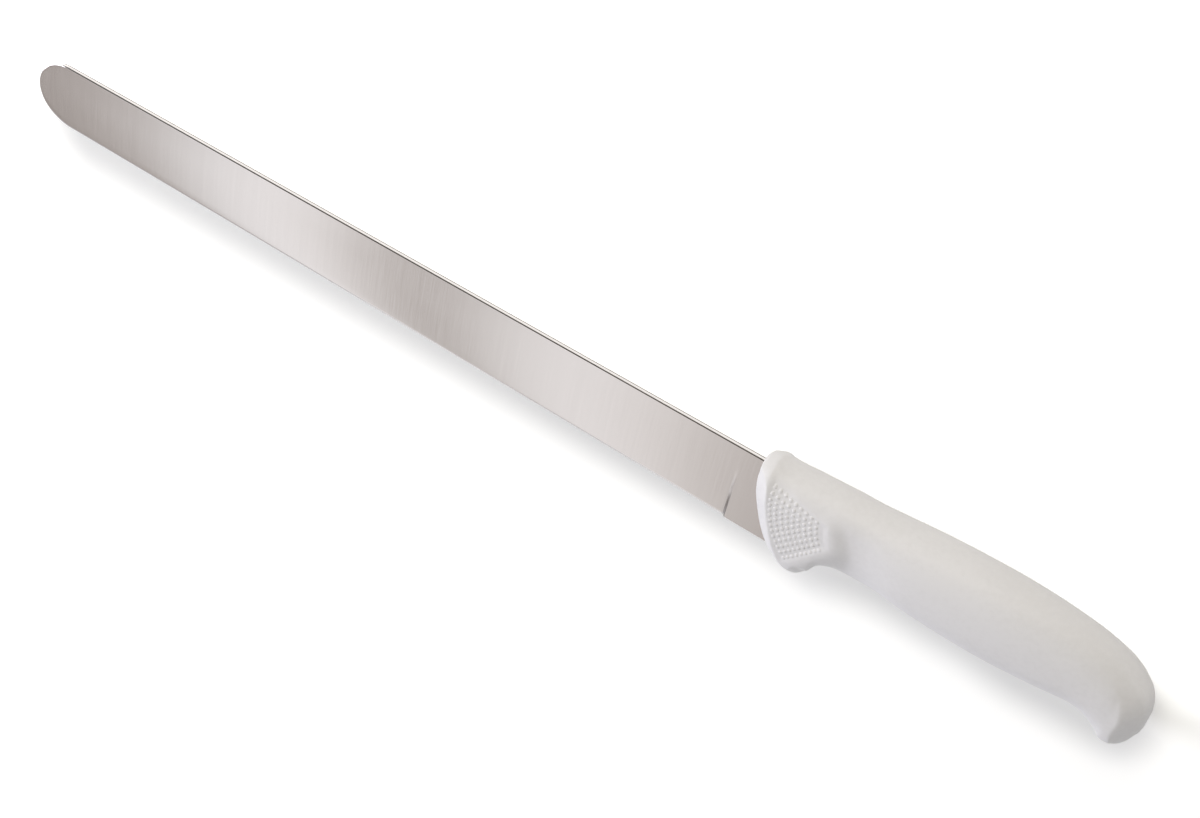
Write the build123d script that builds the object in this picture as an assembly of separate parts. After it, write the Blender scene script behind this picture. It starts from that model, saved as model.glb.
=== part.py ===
from build123d import *
import math
import os

# A long slicing and carving knife, lying on its side.
# X runs from the tip to the pommel, Y from the edge to the spine, Z out of the blade's face.
# Lengths are in millimetres. Places are drawn from the point where the spine enters
# the collar, on the middle plane of the blade, and moved to the frame at the end.

# Blade
blade_length = 305.0          # tip to the front of the collar
stock_thickness = 1.8         # ricasso and tang, as rolled
ground_thickness = 1.74       # flat faces of the ground blade
heel_height = 33.0            # spine to edge where the handle begins
tip_height = 27.4             # spine to edge where the round tip begins
spine_rounding = 0.3
ricasso_length = 7.2          # unground stretch in front of the collar
grind_start = 9.0             # below the spine, the faces are flat down to here
edge_thickness = 0.5          # behind the cutting bevel
bevel_height = 0.9
edge_land = 0.08

# Tang, hidden in the handle
heel_cover = 15.0             # full blade height reaches this far into the guard
tang_length = 112.0
tang_drop = 5.5               # from the spine line down to the tang's upper edge
tang_front_height = 14.0
tang_rear_height = 9.0
tang_corner = 3.0
anchor_hole_diameter = 7.0
anchor_hole_spacing = 28.0
anchor_hole_count = 3
first_hole = 38.0             # from the collar's front

# Handle
handle_length = 144.0
handle_height = 44.3          # from the top of the back to the bottom of the guard
handle_thickness = 24.8
grip_wall = 5.0               # outer moulding over the core
core_start = 18.0             # outer moulding in front of the core
pommel_cover = 18.0           # outer moulding behind the core

# One overrun serves every cut
overrun = 2.0

# Cross-sections of the handle, from the collar to the pommel, as shares: how far along
# the handle's length; then of its height, measured up from the spine line, the top, the
# bottom and the widest level; then of its thickness. The last two say how full the
# section is above and below its widest level: 2 is an ellipse, more is squarer.
handle_section_shares = [
    (0.000, 0.063, -0.160, -0.045, 0.21, 2.2, 2.2),
    (0.007, 0.083, -0.240, -0.070, 0.40, 2.2, 2.2),
    (0.021, 0.096, -0.368, -0.135, 0.59, 2.3, 2.2),
    (0.038, 0.100, -0.500, -0.180, 0.72, 2.3, 2.2),
    (0.056, 0.096, -0.607, -0.205, 0.805, 2.3, 2.3),
    (0.083, 0.088, -0.727, -0.225, 0.83, 2.3, 2.4),
    (0.111, 0.085, -0.810, -0.225, 0.83, 2.3, 2.45),
    (0.139, 0.087, -0.849, -0.225, 0.83, 2.3, 2.45),
    (0.163, 0.092, -0.832, -0.225, 0.83, 2.3, 2.45),
    (0.184, 0.095, -0.747, -0.220, 0.83, 2.3, 2.4),
    (0.200, 0.097, -0.645, -0.205, 0.825, 2.3, 2.3),
    (0.215, 0.099, -0.602, -0.180, 0.81, 2.3, 2.1),
    (0.236, 0.100, -0.587, -0.155, 0.785, 2.3, 1.85),
    (0.278, 0.102, -0.583, -0.140, 0.79, 2.3, 1.8),
    (0.347, 0.115, -0.577, -0.150, 0.85, 2.3, 1.95),
    (0.430, 0.135, -0.582, -0.175, 0.935, 2.3, 2.15),
    (0.527, 0.149, -0.588, -0.200, 0.985, 2.3, 2.25),
    (0.625, 0.151, -0.586, -0.205, 1.00, 2.3, 2.3),
    (0.708, 0.140, -0.565, -0.215, 0.98, 2.3, 2.3),
    (0.777, 0.117, -0.540, -0.225, 0.95, 2.3, 2.3),
    (0.826, 0.093, -0.520, -0.225, 0.92, 2.3, 2.3),
    (0.861, 0.068, -0.530, -0.250, 0.905, 2.3, 2.3),
    (0.888, 0.040, -0.580, -0.270, 0.895, 2.3, 2.3),
    (0.912, 0.006, -0.670, -0.295, 0.88, 2.3, 2.3),
    (0.935, -0.036, -0.722, -0.335, 0.81, 2.3, 2.3),
    (0.960, -0.093, -0.710, -0.380, 0.68, 2.3, 2.3),
    (0.981, -0.165, -0.643, -0.400, 0.51, 2.3, 2.3),
    (0.994, -0.245, -0.555, -0.400, 0.34, 2.2, 2.2),
    (1.000, -0.330, -0.470, -0.400, 0.16, 2.0, 2.0),
]
points_per_section = 20

half_stock = stock_thickness / 2
half_ground = ground_thickness / 2
half_handle = handle_thickness / 2


def edge_depth(x):
    """Distance from the spine line down to the cutting edge at x."""
    run = blade_length - tip_height / 2
    return heel_height + (heel_height - tip_height) * x / run


def grind_drop(depth, edge):
    """How far the convex grind has come in from the flat face at this depth."""
    run = edge - bevel_height - grind_start
    loss = half_ground - edge_thickness / 2
    radius = (run**2 + loss**2) / (2 * loss)
    return radius - math.sqrt(radius**2 - (depth - grind_start) ** 2)


def ground_section(x):
    """Blade section at x: rounded spine, flat faces, convex grind, cutting bevel."""
    edge = edge_depth(x)
    bevel = edge - bevel_height
    middle = (grind_start + bevel) / 2
    corner = spine_rounding * (1 - math.sqrt(0.5))
    side = []
    for sign in (1, -1):
        face = sign * half_ground
        rim = sign * (half_ground - spine_rounding)
        near = sign * (half_ground - corner)
        behind = sign * edge_thickness / 2
        through = sign * (half_ground - grind_drop(middle, edge))
        land = sign * edge_land / 2
        spine = (x, 0, rim)
        flat = (x, -spine_rounding, face)
        grind = (x, -grind_start, face)
        shoulder = (x, -bevel, behind)
        side += [
            ThreePointArc(spine, (x, -corner, near), flat),
            Line(flat, grind),
            ThreePointArc(grind, (x, -middle, through), shoulder),
            Line(shoulder, (x, -edge, land)),
        ]
    spine_line = Line(side[0] @ 0, side[4] @ 0)
    edge_line = Line(side[3] @ 1, side[7] @ 1)
    return make_face([spine_line, edge_line] + side)


def ground_blade():
    """Ground stretch of the blade, from the plunge line past the tip."""
    heel = ground_section(-ricasso_length)
    far = ground_section(-blade_length - overrun)
    return loft([heel, far], ruled=True)


def tip_outline():
    """Side outline of the blade with its full-round tip, as a solid to keep."""
    radius = tip_height / 2
    centre = -blade_length + radius
    start = (centre, 0)
    end = (centre, -tip_height)
    deep = -heel_height - overrun
    outline = [
        Polyline((0, overrun), (centre, overrun), start),
        ThreePointArc(start, (-blade_length, -radius), end),
        Polyline(end, (centre, deep), (0, deep), (0, overrun)),
    ]
    return extrude(make_face(outline), amount=stock_thickness, both=True)


def blank():
    """Unground stretch of the blade with the tang that the handle is moulded on."""
    tang_top = -tang_drop
    tang_low = tang_top - tang_front_height
    rear_rise = (tang_front_height - tang_rear_height) / 2
    outline = Polyline(
        (-ricasso_length, 0),
        (heel_cover, 0),
        (heel_cover + tang_drop, tang_top),
        (tang_length, tang_top - rear_rise),
        (tang_length, tang_low + rear_rise),
        (heel_cover + heel_height + tang_low, tang_low),
        (heel_cover, -heel_height),
        (0, -heel_height),
        (-ricasso_length, -edge_depth(-ricasso_length)),
        close=True,
    )
    plate = extrude(make_face(outline), amount=half_stock, both=True)
    rear_corners = plate.edges().filter_by(Axis.Z).sort_by(Axis.X)[-2:]
    plate = fillet(rear_corners, tang_corner)
    spine_edges = plate.edges().filter_by(Axis.X).sort_by(Axis.Y)[-2:]
    plate = fillet(spine_edges, spine_rounding)
    level = tang_top - tang_front_height / 2
    for number in range(anchor_hole_count):
        place = Pos(first_hole + number * anchor_hole_spacing, level)
        plate -= place * Cylinder(anchor_hole_diameter / 2, stock_thickness + overrun)
    return plate


def make_blade():
    """One piece of steel: ground blade, ricasso and tang."""
    return (ground_blade() & tip_outline()) + blank()


def handle_section(row, inset):
    """One cross-section of the handle, drawn this far inside its skin."""
    along, top, low, widest, thickness, full_up, full_down = row
    x = along * handle_length
    centre = widest * handle_height
    up = (top - widest) * handle_height - inset
    down = (widest - low) * handle_height - inset
    half = thickness * half_handle - inset
    points = []
    for number in range(points_per_section):
        angle = 2 * math.pi * number / points_per_section
        rise = math.cos(angle)
        side = math.sin(angle)
        power = 2 / (full_up if rise > 0 else full_down)
        reach = up if rise > 0 else down
        y = centre + reach * math.copysign(abs(rise) ** power, rise)
        z = half * math.copysign(abs(side) ** power, side)
        points.append((x, y, z))
    return make_face(Spline(*points, periodic=True))


def handle_body(rows, inset):
    """Smooth solid through the given cross-sections."""
    return loft([handle_section(row, inset) for row in rows])


def row_at(x):
    """Shares of the section at x, in between those of its two neighbours."""
    along = x / handle_length
    for before, after in zip(handle_section_shares, handle_section_shares[1:]):
        if along <= after[0]:
            part = (along - before[0]) / (after[0] - before[0])
            return [a + part * (b - a) for a, b in zip(before, after)]


def make_core(blade):
    """First moulding: fills the thick of the handle and plugs the tang's holes."""
    front = row_at(core_start)
    rear = row_at(handle_length - pommel_cover)
    between = [row for row in handle_section_shares if front[0] < row[0] < rear[0]]
    return handle_body([front] + between + [rear], grip_wall) - blade


def make_grip(blade, core):
    """Outer moulding: collar, guard, grip and pommel in one piece."""
    return handle_body(handle_section_shares, 0) - core - blade


def in_frame(piece):
    """Move a piece so that the origin is under the middle of the whole knife."""
    top_share = max(row[1] for row in handle_section_shares)
    low_share = min(row[2] for row in handle_section_shares)
    middle_x = (handle_length - blade_length) / 2
    middle_y = (top_share + low_share) * handle_height / 2
    return Pos(-middle_x, -middle_y, half_handle) * piece


blade = make_blade()
core = make_core(blade)
grip = make_grip(blade, core)

os.makedirs("parts", exist_ok=True)
for name, piece in (("blade", blade), ("handle_core", core), ("handle_grip", grip)):
    export_step(in_frame(piece), f"parts/{name}.step")
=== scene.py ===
import math
import bpy
import numpy as np
from mathutils import Matrix, Vector


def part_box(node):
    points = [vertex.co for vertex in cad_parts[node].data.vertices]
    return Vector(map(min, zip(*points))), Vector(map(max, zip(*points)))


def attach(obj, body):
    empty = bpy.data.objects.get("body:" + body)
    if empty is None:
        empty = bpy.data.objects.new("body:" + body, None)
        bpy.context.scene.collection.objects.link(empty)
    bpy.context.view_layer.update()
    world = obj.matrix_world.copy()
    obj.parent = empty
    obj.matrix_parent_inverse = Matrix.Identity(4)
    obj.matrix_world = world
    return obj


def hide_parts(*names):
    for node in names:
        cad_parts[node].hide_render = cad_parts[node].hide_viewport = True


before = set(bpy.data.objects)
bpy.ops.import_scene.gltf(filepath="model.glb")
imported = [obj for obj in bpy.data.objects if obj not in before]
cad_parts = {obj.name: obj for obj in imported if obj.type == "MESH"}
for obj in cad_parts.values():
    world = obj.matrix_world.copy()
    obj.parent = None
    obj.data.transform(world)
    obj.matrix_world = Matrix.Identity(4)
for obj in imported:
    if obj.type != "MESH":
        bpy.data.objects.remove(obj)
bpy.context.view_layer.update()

# Blade
# One strip of stainless steel, hardened and ground thin towards the edge. The grind stops
# at a plunge line in front of the handle. The tip is a full round, and the spine is eased.
mm = 0.001
blade_low, blade_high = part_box("blade")
grip_low, grip_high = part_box("handle_grip")
collar = grip_low.x
spine = blade_high.y
middle = (blade_low.z + blade_high.z) / 2
blade_length = collar - blade_low.x
heel_height = blade_high.y - blade_low.y
tip_height = 27.4 * mm
half_stock = (blade_high.z - blade_low.z) / 2
half_ground = 0.87 * mm
grind_start = 9 * mm
half_behind_edge = 0.25 * mm
bevel_height = 0.75 * mm
half_land = 0.04 * mm
spine_rounding = 0.3 * mm
rim_rounding = 0.3 * mm
ricasso_length = 7.2 * mm
plunge_width = 1.3 * mm
plunge_margin = 0.4 * plunge_width
plunge_zone = 6 * mm
flat_blend = 12 * mm
heel_cover = 15 * mm
tip_steps = 28
straight_steps = 60
plunge_steps = 19
face_steps = 16
blade_crease = 35


def mesh_piece(name, points, faces, crease):
    """New smooth piece, left sharp where it turns by more than crease, in degrees."""
    mesh = bpy.data.meshes.new(name)
    mesh.from_pydata([tuple(point) for point in points], [], faces)
    mesh.validate()
    mesh.shade_smooth()
    mesh.set_sharp_from_angle(angle=math.radians(crease))
    piece = bpy.data.objects.new(name, mesh)
    bpy.context.scene.collection.objects.link(piece)
    return piece


def ring_faces(rings, size):
    """Quads between equal rings of points, with both ends closed."""
    faces = []
    for ring in range(rings - 1):
        for number in range(size):
            after = (number + 1) % size
            here = ring * size
            there = here + size
            faces.append((here + number, here + after, there + after, there + number))
    faces.append(tuple(reversed(range(size))))
    faces.append(tuple(range((rings - 1) * size, rings * size)))
    return faces


def ease(start, end, value):
    """Smooth step from 0 at start to 1 at end."""
    share = np.clip((value - start) / (end - start), 0, 1)
    return share * share * (3 - 2 * share)


def edge_depth(x):
    """Spine to edge, at x from the collar."""
    return heel_height + (heel_height - tip_height) * x / (blade_length - tip_height / 2)


def blade_half(x, depth, rim, blunt):
    """Half thickness at x, this deep under the spine and this far in from the outline.
    The outline is rounded where blunt is 1, and has the cutting bevel where it is 0."""
    shoulder = edge_depth(x) - bevel_height
    share = min(max((depth - grind_start) / (shoulder - grind_start), 0), 1)
    grind = (half_ground - half_behind_edge) * share ** 2
    bevel = (half_behind_edge - half_land) * (1 - min(rim / bevel_height, 1)) * (1 - blunt)
    ground = 1 - ease(-ricasso_length - plunge_width, -ricasso_length, x)
    flat = half_ground + (half_stock - half_ground) * ease(-ricasso_length - flat_blend, 0, x)
    rounding = rim_rounding * blunt
    corner = rounding - math.sqrt(rounding ** 2 - (rounding - min(rim, rounding)) ** 2)
    return max(flat - (grind + bevel * (depth > grind_start)) * ground - corner, half_land)


def blade_ring(x):
    """Points round the blade's section at x: down one face and up the other."""
    radius = tip_height / 2
    reach = min(x + blade_length - radius, 0)
    half_chord = math.sqrt(radius ** 2 - reach ** 2)
    top = radius - half_chord
    low = radius + half_chord if reach < 0 else edge_depth(x)
    height = low - top
    near_spine = [share * spine_rounding for share in (0, 0.05, 0.3, 1, 2)]
    near_edge = [share * bevel_height for share in (1.4, 1, 0.5)]
    shares = [depth / heel_height for depth in near_spine]
    shares += [step / face_steps for step in range(1, face_steps - 1)]
    shares += [1 - rise / heel_height for rise in near_edge]
    shares += [1 - share for share in reversed(shares[:4])]
    side = []
    for share in shares:
        depth = top + share * height
        rim_up = depth if reach == 0 else radius - math.hypot(reach, depth - radius)
        rim_low = edge_depth(x) - depth if reach == 0 else rim_up
        turn = math.atan2(-reach, depth - radius)
        blunt = ease(0.15 * math.pi, 0.5 * math.pi, turn) if reach < 0 else 0
        blunt = 1 if depth < radius else blunt
        rim = max(rim_up if depth < radius else rim_low, 0)
        half = blade_half(x, depth, rim, float(blunt))
        side.append((collar + x, spine - depth, float(half)))
    up = [(px, py, middle + half) for px, py, half in side]
    down = [(px, py, middle - half) for px, py, half in reversed(side)]
    return up + down


tip_end = -blade_length + tip_height / 2
plunge_start = -ricasso_length - plunge_width - plunge_margin
straight = np.linspace(tip_end, -ricasso_length - plunge_zone, straight_steps)
plunge = np.linspace(plunge_start, -ricasso_length + plunge_margin, plunge_steps)
stations = [
    -blade_length + tip_height / 2 * (1 - math.cos(math.pi / 2 * step / tip_steps))
    for step in range(1, tip_steps)
]
stations += list(straight) + list(plunge) + [-ricasso_length / 2, 0, heel_cover]
rings = [blade_ring(float(x)) for x in stations]
faces = ring_faces(len(rings), len(rings[0]))
blade = mesh_piece("blade_steel", sum(rings, []), faces, blade_crease)


class Finish:
    """A socket among shader nodes. Arithmetic on it adds Math nodes."""

    def __init__(self, tree, socket=None):
        self.tree = tree
        self.socket = socket

    def node(self, kind, settings=(), sockets=(), out=0):
        """Add a node: its settings first, then the values or links of its sockets."""
        made = self.tree.nodes.new("ShaderNode" + kind)
        for name, value in dict(settings).items():
            if name == "stops":
                ramp = made.color_ramp.elements
                while len(ramp) < len(value):
                    ramp.new(1)
                for stop, (place, colour) in zip(ramp, value):
                    stop.position = place
                    stop.color = (*colour, 1)
            else:
                setattr(made, name, value)
        for name, value in dict(sockets).items():
            if isinstance(value, Finish):
                self.tree.links.new(value.socket, made.inputs[name])
            else:
                made.inputs[name].default_value = value
        return Finish(self.tree, made.outputs[out] if made.outputs else None)

    def maths(self, operation, first, second=0.0):
        return self.node("Math", {"operation": operation}, {0: first, 1: second})

    def __add__(self, other):
        return self.maths("ADD", self, other)

    def __sub__(self, other):
        return self.maths("SUBTRACT", self, other)

    def __rsub__(self, other):
        return self.maths("SUBTRACT", other, self)

    def __mul__(self, other):
        return self.maths("MULTIPLY", self, other)

    def __truediv__(self, other):
        return self.maths("DIVIDE", self, other)

    __radd__ = __add__
    __rmul__ = __mul__

    def between(self, low, high):
        """0 where this is at low, 1 at high, soft between and held outside."""
        sockets = {"Value": self, "From Min": low, "From Max": high}
        return self.node("MapRange", {"interpolation_type": "SMOOTHSTEP"}, sockets)

    def stretched(self, scale):
        """These coordinates, multiplied along each axis."""
        return self.node("VectorMath", {"operation": "MULTIPLY"}, {0: self, 1: scale})

    def noise(self, scale, detail=2.0, roughness=0.5):
        """Soft noise of about this many lumps in a metre, near 0.5 on average."""
        sockets = {"Vector": self, "Scale": scale, "Detail": detail, "Roughness": roughness}
        return self.node("TexNoise", {}, sockets)

    def blend(self, first, second):
        """Colour between two, by this factor."""
        sockets = {0: self, 6: first, 7: second}
        return self.node("Mix", {"data_type": "RGBA"}, sockets, out=2)


def new_finish(name):
    """An empty material and the start of its nodes."""
    material = bpy.data.materials.new(name)
    material.use_nodes = True
    material.node_tree.nodes.clear()
    return material, Finish(material.node_tree)


def finish_with(start, sockets):
    """Principled surface with these sockets, wired to the output."""
    surface = start.node("BsdfPrincipled", {}, sockets)
    start.node("OutputMaterial", {}, {"Surface": surface})


# Satin steel with fine lines across the blade. Dark lines are painted into its colour along the
# spine's two corners and at the foot of the plunge line: painted shade, standing in for the
# dark room mirrored there. The same mask makes them a little rougher. The painted shade at the
# plunge is less towards the spine, in two fades whose ends are depths under it.
steel_pale = (0.662, 0.636, 0.621, 1)
steel_dark = (0.631, 0.605, 0.590, 1)
# Colour of the painted shade lines
steel_painted_shade = (0.060, 0.050, 0.043, 1)
corner_fade = 0.08 * mm
corner_drop = 0.36 * mm
near_corner_width = 0.36 * mm
far_corner_width = 0.56 * mm
spine_start = 0.05 * mm
spine_full = 0.01 * mm
spine_shade_share = 0.12
plunge_line = collar - ricasso_length
plunge_rise = 2.0 * mm
plunge_foot = 0.3 * mm
plunge_fall = 0.1 * mm
plunge_shade_share = 0.5
plunge_fades = [(24 * mm, 19 * mm), (16 * mm, 11 * mm)]
material, start = new_finish("ground_steel")
place = start.node("TexCoord", out=3)
lines = place.stretched((1, 0.012, 0.3)).noise(5200, 3, 0.6)
broad_lines = place.stretched((1, 0.02, 0.3)).noise(900, 2, 0.5)
clouds = place.noise(38, 2)
grain = lines * 0.65 + broad_lines * 0.35
relief = start.node("Bump", {}, {"Strength": 0.03, "Distance": 0.00002, "Height": grain})
along, across, up = (start.node("SeparateXYZ", {}, {0: place}, out=n) for n in range(3))
near_start = half_ground - near_corner_width
far_start = half_ground - far_corner_width
# Painted shade on the spine's two corners and along its top
near_corner = (up - middle).between(near_start, near_start + corner_fade)
far_corner = (middle - up).between(far_start, far_start + corner_fade)
at_top = across.between(spine - corner_drop, spine - corner_drop + corner_fade)
painted_corner_shade = start.maths("MAXIMUM", near_corner, far_corner * 0.8) * at_top
painted_spine_shade = across.between(spine - spine_start, spine - spine_full) * spine_shade_share
painted_corner_shade = start.maths("MAXIMUM", painted_corner_shade, painted_spine_shade)
# Painted shade at the foot of the plunge line
painted_plunge_shade = along.between(plunge_line - plunge_rise, plunge_line - plunge_foot)
past_plunge = along.between(plunge_line - plunge_fall, plunge_line + plunge_fall)
deep = plunge_shade_share
for fade_start, fade_end in plunge_fades:
    fade = across.between(spine - fade_start, spine - fade_end)
    deep = deep - fade * (plunge_shade_share / len(plunge_fades))
painted_plunge_shade = painted_plunge_shade * (1 - past_plunge) * deep
# Mask of all the painted shade lines: darker in colour, and a little rougher
painted_shade_and_roughening = start.maths("MAXIMUM", painted_corner_shade, painted_plunge_shade) * (clouds * 0.2 + 0.85)
ground_colour = (grain * 0.75 + clouds * 0.25).between(0.34, 0.66).blend(steel_dark, steel_pale)
finish_with(start, {
    "Base Color": painted_shade_and_roughening.blend(ground_colour, steel_painted_shade),
    "Metallic": 1.0,
    "Roughness": lines.between(0.3, 0.7) * 0.03 + clouds * 0.03 + 0.11 + painted_shade_and_roughening * 0.25,
    "Normal": relief,
})
blade.data.materials.append(material)
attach(blade, "root")
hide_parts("blade")

# Tang
# The same strip of steel, narrowed and left unground behind the heel. Its three holes let
# the plastic through, which holds the handle on.
tang_drop = 5.5 * mm
tang_front_height = 14 * mm
tang_rear_height = 9 * mm
tang_length = blade_high.x - collar
tang_corner = 3 * mm
anchor_hole_radius = 3.5 * mm
anchor_hole_spacing = 28 * mm
anchor_hole_count = 3
first_hole = 38 * mm
hole_steps = 24
corner_steps = 8


def arc(x, y, radius, start_degrees, end_degrees, steps):
    """Points on an arc."""
    angles = [
        math.radians(start_degrees + (end_degrees - start_degrees) * step / steps)
        for step in range(steps + 1)
    ]
    return [(x + radius * math.cos(a), y + radius * math.sin(a)) for a in angles]


def plate(name, outline, holes, half):
    """Flat plate with round holes, as a filled curve turned into a mesh."""
    curve = bpy.data.curves.new(name, "CURVE")
    curve.dimensions = "2D"
    curve.fill_mode = "BOTH"
    curve.extrude = half
    for points in [outline] + holes:
        loop = curve.splines.new("POLY")
        loop.points.add(len(points) - 1)
        for point, (x, y) in zip(loop.points, points):
            point.co = (collar + x, spine + y, 0, 1)
        loop.use_cyclic_u = True
    holder = bpy.data.objects.new(name, curve)
    mesh = bpy.data.meshes.new_from_object(holder)
    bpy.data.objects.remove(holder)
    mesh.transform(Matrix.Translation((0, 0, middle)))
    mesh.name = name
    piece = bpy.data.objects.new(name, mesh)
    bpy.context.scene.collection.objects.link(piece)
    return piece


tang_low = -tang_drop - tang_front_height
rear_rise = (tang_front_height - tang_rear_height) / 2
rear_top = -tang_drop - rear_rise
rear_low = tang_low + rear_rise
outline = [(heel_cover, -heel_height), (heel_cover, 0), (heel_cover + tang_drop, -tang_drop)]
rear_centre = tang_length - tang_corner
outline += arc(rear_centre, rear_top - tang_corner, tang_corner, 90, 0, corner_steps)
outline += arc(rear_centre, rear_low + tang_corner, tang_corner, 0, -90, corner_steps)
outline += [(heel_cover + heel_height + tang_low, tang_low)]
hole_level = -tang_drop - tang_front_height / 2
last_angle = 360 - 360 / hole_steps
holes = []
for number in range(anchor_hole_count):
    hole_x = first_hole + number * anchor_hole_spacing
    holes.append(arc(hole_x, hole_level, anchor_hole_radius, 0, last_angle, hole_steps - 1))
tang = plate("tang_steel", outline, holes, half_stock)
tang.data.materials.clear()
tang.data.materials.append(material)
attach(tang, "root")
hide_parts("blade")

# Core
# First shot of polypropylene, moulded straight onto the tang and left as it comes from the
# mould, since the outer shot covers it all.
natural = (0.72, 0.72, 0.70, 1)
natural_shade = (0.66, 0.66, 0.63, 1)
material, start = new_finish("core_plastic")
place = start.node("TexCoord", out=3)
flow = place.stretched((0.3, 1, 1)).noise(160, 3)
pores = place.noise(1800, 3)
relief = start.node("Bump", {}, {"Strength": 0.3, "Distance": 0.0001, "Height": pores})
finish_with(start, {
    "Base Color": flow.between(0.3, 0.7).blend(natural_shade, natural),
    "Roughness": flow * 0.15 + 0.45,
    "Normal": relief,
})
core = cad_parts["handle_core"]
core.data.materials.clear()
core.data.materials.append(material)

# Grip
# Second shot, white polypropylene: collar, guard, finger panels, grip and hooked pommel in
# one moulding, with the mould's fine matt texture on its skin.
handle_length = grip_high.x - grip_low.x
handle_height = grip_high.y - grip_low.y
half_handle = (grip_high.z - grip_low.z) / 2

# Shares of those three sizes: how far along; the top, the bottom and the widest level above
# the spine; the half thickness. The last two say how square the section is above and below.
section_shares = [
    (0.000, 0.040, -0.100, -0.030, 0.42, 2.1, 2.3),
    (0.002, 0.045, -0.148, -0.045, 0.47, 2.1, 2.3),
    (0.007, 0.057, -0.236, -0.080, 0.58, 2.25, 2.4),
    (0.021, 0.076, -0.368, -0.140, 0.74, 2.25, 2.5),
    (0.031, 0.087, -0.448, -0.160, 0.80, 2.2, 2.6),
    (0.038, 0.087, -0.500, -0.175, 0.84, 2.15, 2.7),
    (0.056, 0.079, -0.607, -0.200, 0.86, 2.15, 2.9),
    (0.083, 0.078, -0.725, -0.225, 0.86, 2.2, 3.0),
    (0.111, 0.081, -0.808, -0.225, 0.86, 2.3, 3.0),
    (0.139, 0.087, -0.840, -0.225, 0.86, 2.3, 2.9),
    (0.163, 0.092, -0.822, -0.225, 0.86, 2.3, 2.9),
    (0.184, 0.095, -0.726, -0.220, 0.86, 2.3, 2.9),
    (0.200, 0.097, -0.618, -0.205, 0.86, 2.3, 2.9),
    (0.215, 0.099, -0.578, -0.190, 0.85, 2.3, 2.7),
    (0.236, 0.100, -0.578, -0.165, 0.825, 2.3, 2.2),
    (0.256, 0.101, -0.592, -0.155, 0.81, 2.3, 1.95),
    (0.278, 0.103, -0.598, -0.150, 0.80, 2.3, 1.9),
    (0.305, 0.108, -0.596, -0.150, 0.81, 2.3, 1.9),
    (0.347, 0.115, -0.590, -0.150, 0.85, 2.3, 1.95),
    (0.430, 0.135, -0.588, -0.175, 0.935, 2.3, 2.15),
    (0.527, 0.149, -0.589, -0.200, 0.985, 2.3, 2.25),
    (0.625, 0.151, -0.586, -0.205, 0.998, 2.3, 2.3),
    (0.708, 0.140, -0.565, -0.215, 0.98, 2.3, 2.3),
    (0.777, 0.117, -0.540, -0.225, 0.95, 2.3, 2.3),
    (0.826, 0.091, -0.520, -0.225, 0.92, 2.3, 2.3),
    (0.861, 0.064, -0.530, -0.250, 0.905, 2.3, 2.3),
    (0.888, 0.034, -0.580, -0.270, 0.90, 2.3, 2.3),
    (0.912, 0.001, -0.640, -0.290, 0.895, 2.3, 2.5),
    (0.926, -0.023, -0.672, -0.315, 0.89, 2.3, 2.9),
    (0.938, -0.047, -0.696, -0.335, 0.89, 2.4, 2.9),
    (0.949, -0.070, -0.710, -0.350, 0.89, 2.5, 2.8),
    (0.960, -0.097, -0.706, -0.365, 0.89, 2.6, 2.7),
    (0.973, -0.134, -0.684, -0.380, 0.89, 2.7, 2.7),
    (0.986, -0.186, -0.634, -0.390, 0.89, 2.8, 2.8),
    (0.996, -0.258, -0.556, -0.395, 0.89, 2.8, 2.8),
    (1.000, -0.330, -0.470, -0.400, 0.89, 2.8, 2.8),
]
steps_between_sections = 9
points_round = 240
grip_crease = 60


def fair(rows, steps):
    """Smooth run of rows through the given ones, a few steps apart."""
    rows = np.array(rows)
    rows = np.vstack([2 * rows[0] - rows[1], rows, 2 * rows[-1] - rows[-2]])
    out = []
    for number in range(1, len(rows) - 2):
        before, here, there, after = rows[number - 1:number + 3]
        for step in range(steps):
            t = step / steps
            out.append(0.5 * (
                2 * here + (there - before) * t
                + (2 * before - 5 * here + 4 * there - after) * t ** 2
                + (3 * here - before - 3 * there + after) * t ** 3
            ))
    return np.array(out + [rows[-2]])


def lesser(first, second, blend):
    """The smaller of two values, rounded where they cross."""
    share = np.clip(0.5 + 0.5 * (second - first) / blend, 0, 1)
    return second + (first - second) * share - blend * share * (1 - share)


def distance(x, y, line):
    """Distance of points to an open line."""
    nearest = np.full(np.shape(x), 1.0)
    for (ax, ay), (bx, by) in zip(line, line[1:]):
        dx = bx - ax
        dy = by - ay
        share = np.clip(((x - ax) * dx + (y - ay) * dy) / (dx * dx + dy * dy), 0, 1)
        nearest = np.minimum(nearest, np.hypot(x - ax - share * dx, y - ay - share * dy))
    return nearest


def inside(x, y, loop, tiny=1e-12):
    """Which points lie inside a closed loop. The tiny height keeps level sides countable."""
    found = np.zeros(np.shape(x), bool)
    for (ax, ay), (bx, by) in zip(loop, loop[1:] + loop[:1]):
        crossing = (bx - ax) * (y - ay) / (by - ay + tiny) + ax
        found ^= ((ay > y) != (by > y)) & (x < crossing)
    return found


def rounded(inward, radius, least=0.05):
    """Share of the full thickness, this far in from a rim rounded by this radius."""
    return np.sqrt(1 - (1 - np.clip(inward / radius, least, 1)) ** 2)


def side_line(rows, column):
    """Side outline through every third row: its top is column 1, its bottom column 2."""
    return [(row[0] * handle_length, row[column] * handle_height) for row in rows[::3]]


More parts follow.
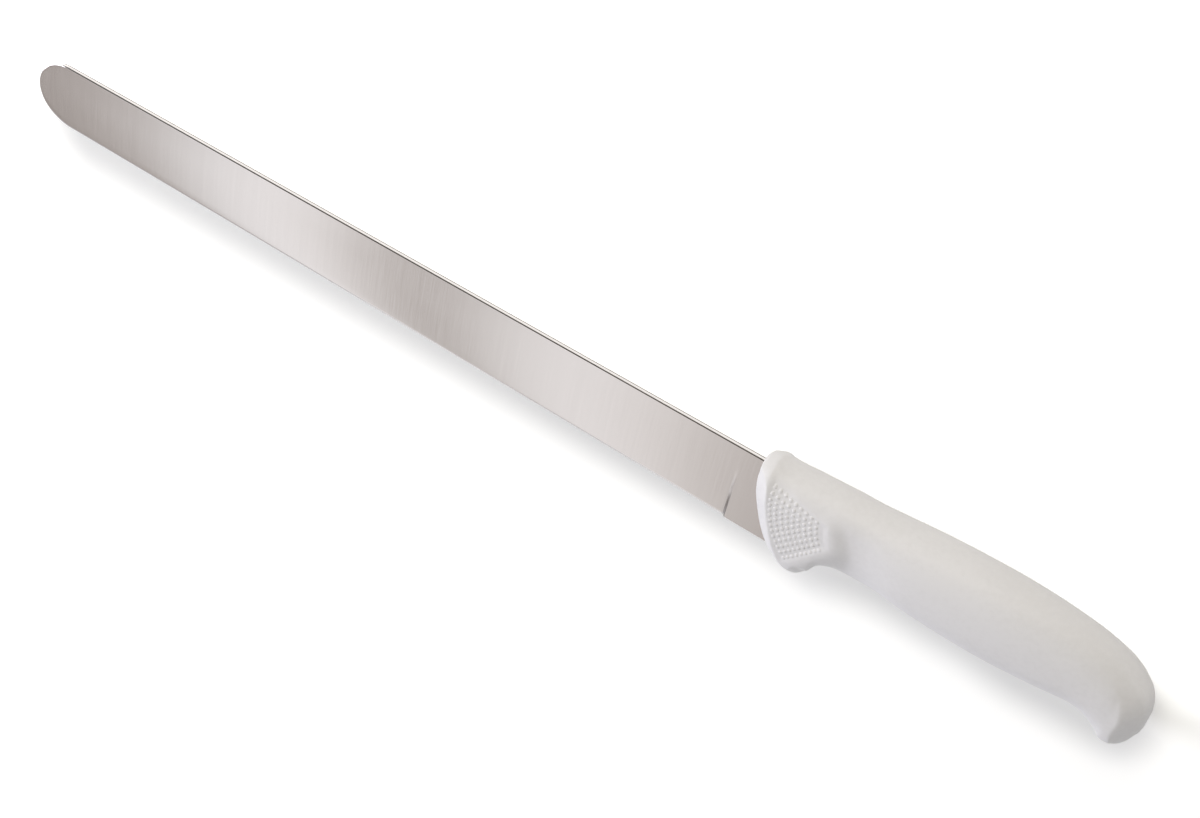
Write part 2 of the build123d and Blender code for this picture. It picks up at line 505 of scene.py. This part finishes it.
rows = fair(section_shares, steps_between_sections)
angle = np.linspace(0, 2 * math.pi, points_round, endpoint=False)
rise = np.cos(angle)[None, :]
face = np.sign(np.sin(angle))[None, :]
share_along, top, low, widest, thickness, full_up, full_down = (
    rows[:, column][:, None] for column in range(7))
upper = rise > 0
full = np.where(upper, full_up, full_down)
reach = np.where(upper, top - widest, widest - low) * handle_height
x = share_along * handle_length + 0 * rise
y = widest * handle_height + reach * rise
half = thickness * half_handle * np.maximum(1 - np.abs(rise) ** full, 0) ** (1 / full)

# Front lip, from the collar's top to the guard's rear: a blunt rim, thinner under the guard,
# then a bevel back to sides that are nearly flat as far as the finger hollow
lip_top_section = 2
lip_last_section = 11
lip_half = 4.6 * mm
lip_top = 4.6 * mm
lip_top_limit = 0.98
lip_rounding = 0.8 * mm
guard_thinning = 1.2 * mm
guard_thinning_start = -29 * mm
guard_thinning_end = -36 * mm
bevel_slope = 0.86
bevel_blend = 0.4 * mm
side_half = 10.25 * mm
side_crown = 0.0011 / mm
side_level = -12 * mm
side_blend = 0.5 * mm
side_fade_start = 34 * mm
side_fade_end = 44 * mm
front = side_line(rows[:lip_top_section * steps_between_sections + 1], 1)[::-1]
front += side_line(rows[:lip_last_section * steps_between_sections + 1], 2)
inward = distance(x, y, front)
lip = lip_half * np.sqrt(1 - np.clip(y / lip_top, 0, lip_top_limit) ** 2)
lip -= guard_thinning * ease(guard_thinning_start, guard_thinning_end, y)
bevel = lip * rounded(inward, lip_rounding) + bevel_slope * inward
half = lesser(half, bevel, bevel_blend)
flat = side_half - side_crown * (y - side_level) ** 2
in_front = 1 - ease(side_fade_start, side_fade_end, x)
half += (lesser(half, flat, side_blend) - half) * in_front

# Pommel: the same kind of rim and bevel round its end, with a fuller lip at the hook's tip
hook_front = 129.5 * mm
pommel_lip = 3.6 * mm
pommel_rounding = 1.5 * mm
pommel_slope = 1.1
pommel_easing = 0.10
pommel_easing_start = -13 * mm
pommel_easing_end = -5 * mm
pommel_blend = 1.4 * mm
foot_blend = 2 * mm
hook_lip = 4.2 * mm
hook_lip_rear = 138 * mm
hook_lip_front = 131.5 * mm
hook_lip_top = -20 * mm
hook_lip_low = -27 * mm
tail = rows[rows[:, 0] > hook_front / handle_length]
hook = tail[np.argmin(tail[:, 2]):]
rim_level = np.concatenate([hook[:, 2], tail[::-1, 1]]) * handle_height
rim_x = np.concatenate([hook[:, 0], tail[::-1, 0]]) * handle_length
from_end = np.interp(y, rim_level, rim_x) - x
inward = lesser(from_end, distance(x, y, side_line(tail, 2)), foot_blend)
slope = pommel_slope - pommel_easing * ease(pommel_easing_start, pommel_easing_end, y)
in_hook = ease(hook_lip_rear, hook_lip_front, x) * ease(hook_lip_top, hook_lip_low, y)
lip = pommel_lip + hook_lip * in_hook
end = lip * rounded(inward, pommel_rounding) + slope * inward
half = lesser(half, end, pommel_blend)

# Finger panel: nine curved columns of dots, sunk a little below the side. Its two gaps, from
# the outer columns to its ends, are in column steps. It fades out where the moulding is thin.
dot_columns = 9
first_column_dots = 14
first_top = Vector((8.0, -0.6)) * mm
top_step = Vector((2.15, -0.41)) * mm
first_bottom = Vector((18.7, -26.6)) * mm
bottom_step = Vector((1.3, 1.55)) * mm
first_bow = 2.8 * mm
bow_step = -0.26 * mm
panel_front_gap = 0.55
panel_rear_gap = 1.6
panel_steps = 12
panel_margin = 1.5 * mm
margin_start = 3 * mm
margin_end = 11 * mm
panel_depth = 0.4 * mm
panel_wall = 1.3 * mm
panel_thin = 2 * mm
panel_thick = 8 * mm


def column_point(column, share):
    """Place on a column of dots, from its top to its bottom."""
    start_point = first_top + column * top_step
    end_point = first_bottom + column * bottom_step
    chord = end_point - start_point
    bow = Vector((chord.y, -chord.x)).normalized() * (first_bow + column * bow_step)
    return start_point + chord * share + bow * 4 * share * (1 - share)


down_panel = [step / panel_steps for step in range(panel_steps + 1)]
last_column = dot_columns - 1 + panel_rear_gap
sides = [column_point(-panel_front_gap, share) for share in down_panel]
sides += [column_point(last_column, 1 - share) for share in down_panel]
panel_middle = sum(sides, Vector((0, 0))) / len(sides)
panel = []
for point in sides:
    from_middle = point.y - panel_middle.y
    margin = panel_margin * ease(margin_start, margin_end, abs(from_middle))
    panel.append((point.x, point.y + math.copysign(margin, from_middle)))
into_panel = distance(x, y, panel + panel[:1]) * np.where(inside(x, y, panel), 1, -1)
sunk = panel_depth * ease(-panel_wall, panel_wall, into_panel)
half = half - sunk * ease(panel_thin, panel_thick, half)

# Finger hollow behind the panel, deeper towards the guard. It fades out like the panel.
crest_x = 33.3 * mm
crest_curve = 0.0215 / mm
crest_level = -17 * mm
hollow_depth = 1.1 * mm
hollow_deepest = 7 * mm
hollow_length = 26 * mm
hollow_top = 3 * mm
hollow_low = -6 * mm
hollow_thin = 1 * mm
hollow_thick = 8 * mm
crest = crest_x - crest_curve * np.maximum(y - crest_level, 0) ** 2
past = x - crest
hollow = ease(0, hollow_deepest, past) * (1 - ease(hollow_deepest, hollow_length, past))
hollow *= ease(hollow_top, hollow_low, y)
half = half - hollow_depth * hollow * ease(hollow_thin, hollow_thick, half)

points = np.stack([collar + x, spine + y, middle + half * face], axis=2).reshape(-1, 3)
grip = mesh_piece("grip", points, ring_faces(len(rows), points_round), grip_crease)

# White polypropylene, a little mottled, with the mould's texture in its skin
white = (0.800, 0.790, 0.788, 1)
white_shade = (0.770, 0.759, 0.756, 1)
material, start = new_finish("white_plastic")
place = start.node("TexCoord", out=3)
texture = place.noise(4200, 3, 0.6)
mottle = place.noise(520, 3, 0.55)
drift = place.stretched((0.5, 1, 1)).noise(45, 2)
height = texture * 0.6 + mottle * 0.4
relief = start.node("Bump", {}, {"Strength": 0.22, "Distance": 0.00012, "Height": height})
finish_with(start, {
    "Base Color": (mottle * 0.5 + drift * 0.5).between(0.35, 0.62).blend(white_shade, white),
    "Roughness": texture.between(0.3, 0.7) * 0.1 + 0.5,
    "IOR": 1.49,
    "Normal": relief,
})
grip.data.materials.append(material)
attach(grip, "root")
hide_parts("handle_grip")

# Dots
# Low round pips in both finger panels, part of the same moulding. They stand just proud of
# the sunk panel and give the thumb and finger their hold.
dot_radius = 0.78 * mm
dot_height = 0.25 * mm
dot_root = 0.25 * mm
dot_rings = 5
dot_points = 16
least_side = 4 * mm
points_in_fit = 36


def side_at(px, py):
    """Half thickness of the grip near a place on its side, and its slopes there. Where
    the grip has less than least_side, its points are left out."""
    away = np.where(half < least_side, 1, np.hypot(x - px, y - py))
    nearest = np.argsort(away, axis=None)[:points_in_fit]
    flat_terms = [np.ones(points_in_fit), x.flat[nearest] - px, y.flat[nearest] - py]
    return np.linalg.lstsq(np.stack(flat_terms, axis=1), half.flat[nearest], rcond=None)[0]


def dot(px, py, face):
    """Points of one pip, ring by ring from its root under the panel to its top."""
    level, slope_x, slope_y = side_at(px, py)
    profile = [(dot_radius, -dot_root)]
    for ring in range(dot_rings):
        share = 1 - ring / dot_rings
        profile.append((dot_radius * share, dot_height * (1 - share ** 2)))
    out = []
    for radius, proud in profile:
        for number in range(dot_points):
            turn = 2 * math.pi * number / dot_points * face
            dx = radius * math.cos(turn)
            dy = radius * math.sin(turn)
            dz = level + slope_x * dx + slope_y * dy + proud
            out.append((collar + px + dx, spine + py + dy, middle + face * dz))
    return out


points = []
faces = []
for column in range(dot_columns):
    count = first_column_dots - column
    for number in range(count):
        spot = column_point(column, number / (count - 1))
        for face in (1, -1):
            base = len(points)
            points += dot(spot.x, spot.y, face)
            for side in ring_faces(dot_rings + 1, dot_points):
                faces.append(tuple(base + corner for corner in side))
dots = mesh_piece("finger_dots", points, faces, grip_crease)
dots.data.materials.append(material)
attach(dots, "root")
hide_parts("handle_grip")

# Studio
# Plain pale floor, one soft round lamp beyond the tip and one beyond the spine, and a pale
# room, whose ceiling on the edge's side has soft bands of light that the steel mirrors.
floor_half = 6
floor_corners = [(side_x * floor_half, side_y * floor_half, 0)
                 for side_x, side_y in ((-1, -1), (1, -1), (1, 1), (-1, 1))]
floor_mesh = bpy.data.meshes.new("floor")
floor_mesh.from_pydata(floor_corners, [], [(0, 1, 2, 3)])
floor = bpy.data.objects.new("floor", floor_mesh)
bpy.context.scene.collection.objects.link(floor)

# Paper that glows to the camera and in reflections. On the spine's side it glows more: painted
# light that lifts the real shadow there. On the edge's side a soft strip along the knife glows
# less, as a painted shadow, and lies a little nearer to it by the grip.
floor_glow = 0.31
spine_side_painted_light = 0.45
glow_turn = 12 * mm
edge_side_painted_shadow = 0.29
shade_level = -20 * mm
shade_end = 210 * mm
shade_core = 9 * mm
shade_reach = 30 * mm
grip_arch = 3.5 * mm
arch_rise = (105 * mm, 135 * mm)
arch_fall = (160 * mm, 185 * mm)
material, start = new_finish("floor_paper")
camera_ray = start.node("LightPath")
glossy_ray = start.node("LightPath", out=3)
clear_ray = start.node("LightPath", out=6)
shown = start.maths("MAXIMUM", start.maths("MAXIMUM", camera_ray, glossy_ray), clear_ray)
paper_colour = shown.blend((0.78, 0.78, 0.78, 1), (1, 1, 0.965, 1))
paper = start.node("BsdfDiffuse", {}, {"Color": paper_colour})
place = start.node("TexCoord", out=3)
along, across = (start.node("SeparateXYZ", {}, {0: place}, out=n) for n in range(2))
past_end = start.maths("MAXIMUM", start.maths("ABSOLUTE", along) - shade_end, 0.0)
arch = along.between(*arch_rise) * (1 - along.between(*arch_fall))
off_line = across - shade_level - arch * grip_arch
beside = start.maths("SQRT", past_end * past_end + off_line * off_line)
# Painted shadow: less glow in a soft strip beside the knife on the edge's side
painted_shadow = (1 - beside.between(shade_core, shade_reach)) * edge_side_painted_shadow
# Painted light: more glow on the spine's side, lifting the real shadow there
light = floor_glow + spine_side_painted_light * across.between(-glow_turn, glow_turn) - painted_shadow
glow_colour = (shown * light).blend((0, 0, 0, 1), (1, 1, 1, 1))
glow = start.node("Emission", {}, {"Color": glow_colour, "Strength": 1.0})
surface = start.node("AddShader", {}, {0: paper, 1: glow})
start.node("OutputMaterial", {}, {"Surface": surface})
floor_mesh.materials.append(material)


lamp_distance = 2.0


def soft_lamp(name, direction, spread, radiance, colour):
    """Round lamp in a direction from the knife, this many degrees from middle to rim."""
    radius = lamp_distance * math.tan(math.radians(spread))
    lamp = bpy.data.lights.new(name, "AREA")
    lamp.shape = "DISK"
    lamp.size = 2 * radius
    lamp.energy = radiance * math.pi * math.pi * radius ** 2
    lamp.color = colour
    holder = bpy.data.objects.new(name, lamp)
    bpy.context.scene.collection.objects.link(holder)
    holder.location = Vector(direction).normalized() * lamp_distance
    holder.rotation_euler = (-holder.location).to_track_quat("-Z", "Y").to_euler()


soft_lamp("tip_lamp", (-0.85, -0.10, 0.52), 20, 4.4, (0.97, 0.985, 1.09))
soft_lamp("spine_lamp", (-0.10, 0.90, 0.43), 16, 5.3, (1.04, 0.99, 0.89))

# How bright the ceiling is on the edge's side, from the tip's end to the handle's, and the
# slants between which those stops lie. The ceiling comes down towards that side.
ceiling_stops = [
    (0.06, (0.48, 0.44, 0.42)),
    (0.19, (0.54, 0.50, 0.48)),
    (0.27, (0.62, 0.58, 0.56)),
    (0.365, (1.20, 1.20, 1.23)),
    (0.42, (1.34, 1.33, 1.36)),
    (0.475, (1.22, 1.20, 1.21)),
    (0.53, (0.66, 0.62, 0.60)),
    (0.59, (0.58, 0.54, 0.52)),
    (0.635, (1.00, 0.98, 0.98)),
    (0.70, (1.23, 1.22, 1.24)),
    (0.78, (1.12, 1.09, 1.09)),
    (0.845, (0.80, 0.76, 0.74)),
    (0.96, (0.56, 0.52, 0.50)),
]
ceiling_start = -0.65
ceiling_end = -0.10
ceiling_fall = 0.6
least_height = 0.05

# The rest of the room is brighter near the horizon, and darker on the spine's side and in a
# soft patch over it. Its light is cool by the tip and the edge, warm by the grip and spine.
room_light = 0.36
spine_side_loss = 0.24
horizon_gain = 0.42
patch_loss = 0.20
patch_direction = (-0.10, 0.68, 0.73)
room_cool = (0.965, 0.975, 1.035, 1)
room_warm = (1.01, 0.99, 0.955, 1)
world = bpy.data.worlds.new("studio")
bpy.context.scene.world = world
world.use_nodes = True
world.node_tree.nodes.clear()
start = Finish(world.node_tree)
direction = start.node("TexCoord")
along, across, up = (start.node("SeparateXYZ", {}, {0: direction}, out=n) for n in range(3))
horizon = 1 - up.between(0.05, 0.42)
patch_sockets = {0: direction, 1: patch_direction}
patch = start.node("VectorMath", {"operation": "DOT_PRODUCT"}, patch_sockets, out=1)
level = room_light - spine_side_loss * across + horizon_gain * horizon
level = level - patch_loss * patch.between(0.86, 0.98)
warm_side = (0.6 * along + 0.8 * across).between(-0.9, 0.9)
tint = warm_side.blend(room_cool, room_warm)
room = start.node("VectorMath", {"operation": "SCALE"}, {0: tint, "Scale": level})
ceiling_height = start.maths("MAXIMUM", up - ceiling_fall * across, least_height)
slant = (along / ceiling_height - ceiling_start) / (ceiling_end - ceiling_start)
bands = start.node("ValToRGB", {"stops": ceiling_stops}, {0: slant})
over_edge = (-0.15 - across).between(0, 0.25) * (0.1 - along).between(0, 0.25)
over_edge = over_edge * up.between(0.12, 0.28)
sky = start.node("Background", {}, {"Color": over_edge.blend(room, bands)})
start.node("OutputWorld", {}, {"Surface": sky})

# Camera
# Beyond the spine and above, turned so that the knife lies from upper left to lower right.
camera_place = Vector((0.2137, 0.5182, 0.5059))
camera_look = Vector((-0.2607144, -0.7007854, -0.6640240))
camera_up = Vector((-0.4780286, 0.6912821, -0.5418651))
camera_right = camera_look.cross(camera_up)
camera = bpy.data.objects.new("camera", bpy.data.cameras.new("camera"))
bpy.context.scene.collection.objects.link(camera)
camera.data.sensor_width = 36
camera.data.lens = 66
camera.data.clip_start = 0.01
turn = Matrix((camera_right, camera_up, -camera_look)).transposed().to_4x4()
camera.matrix_world = Matrix.Translation(camera_place) @ turn
bpy.context.scene.camera = camera
bpy.context.scene.view_settings.view_transform = "Standard"
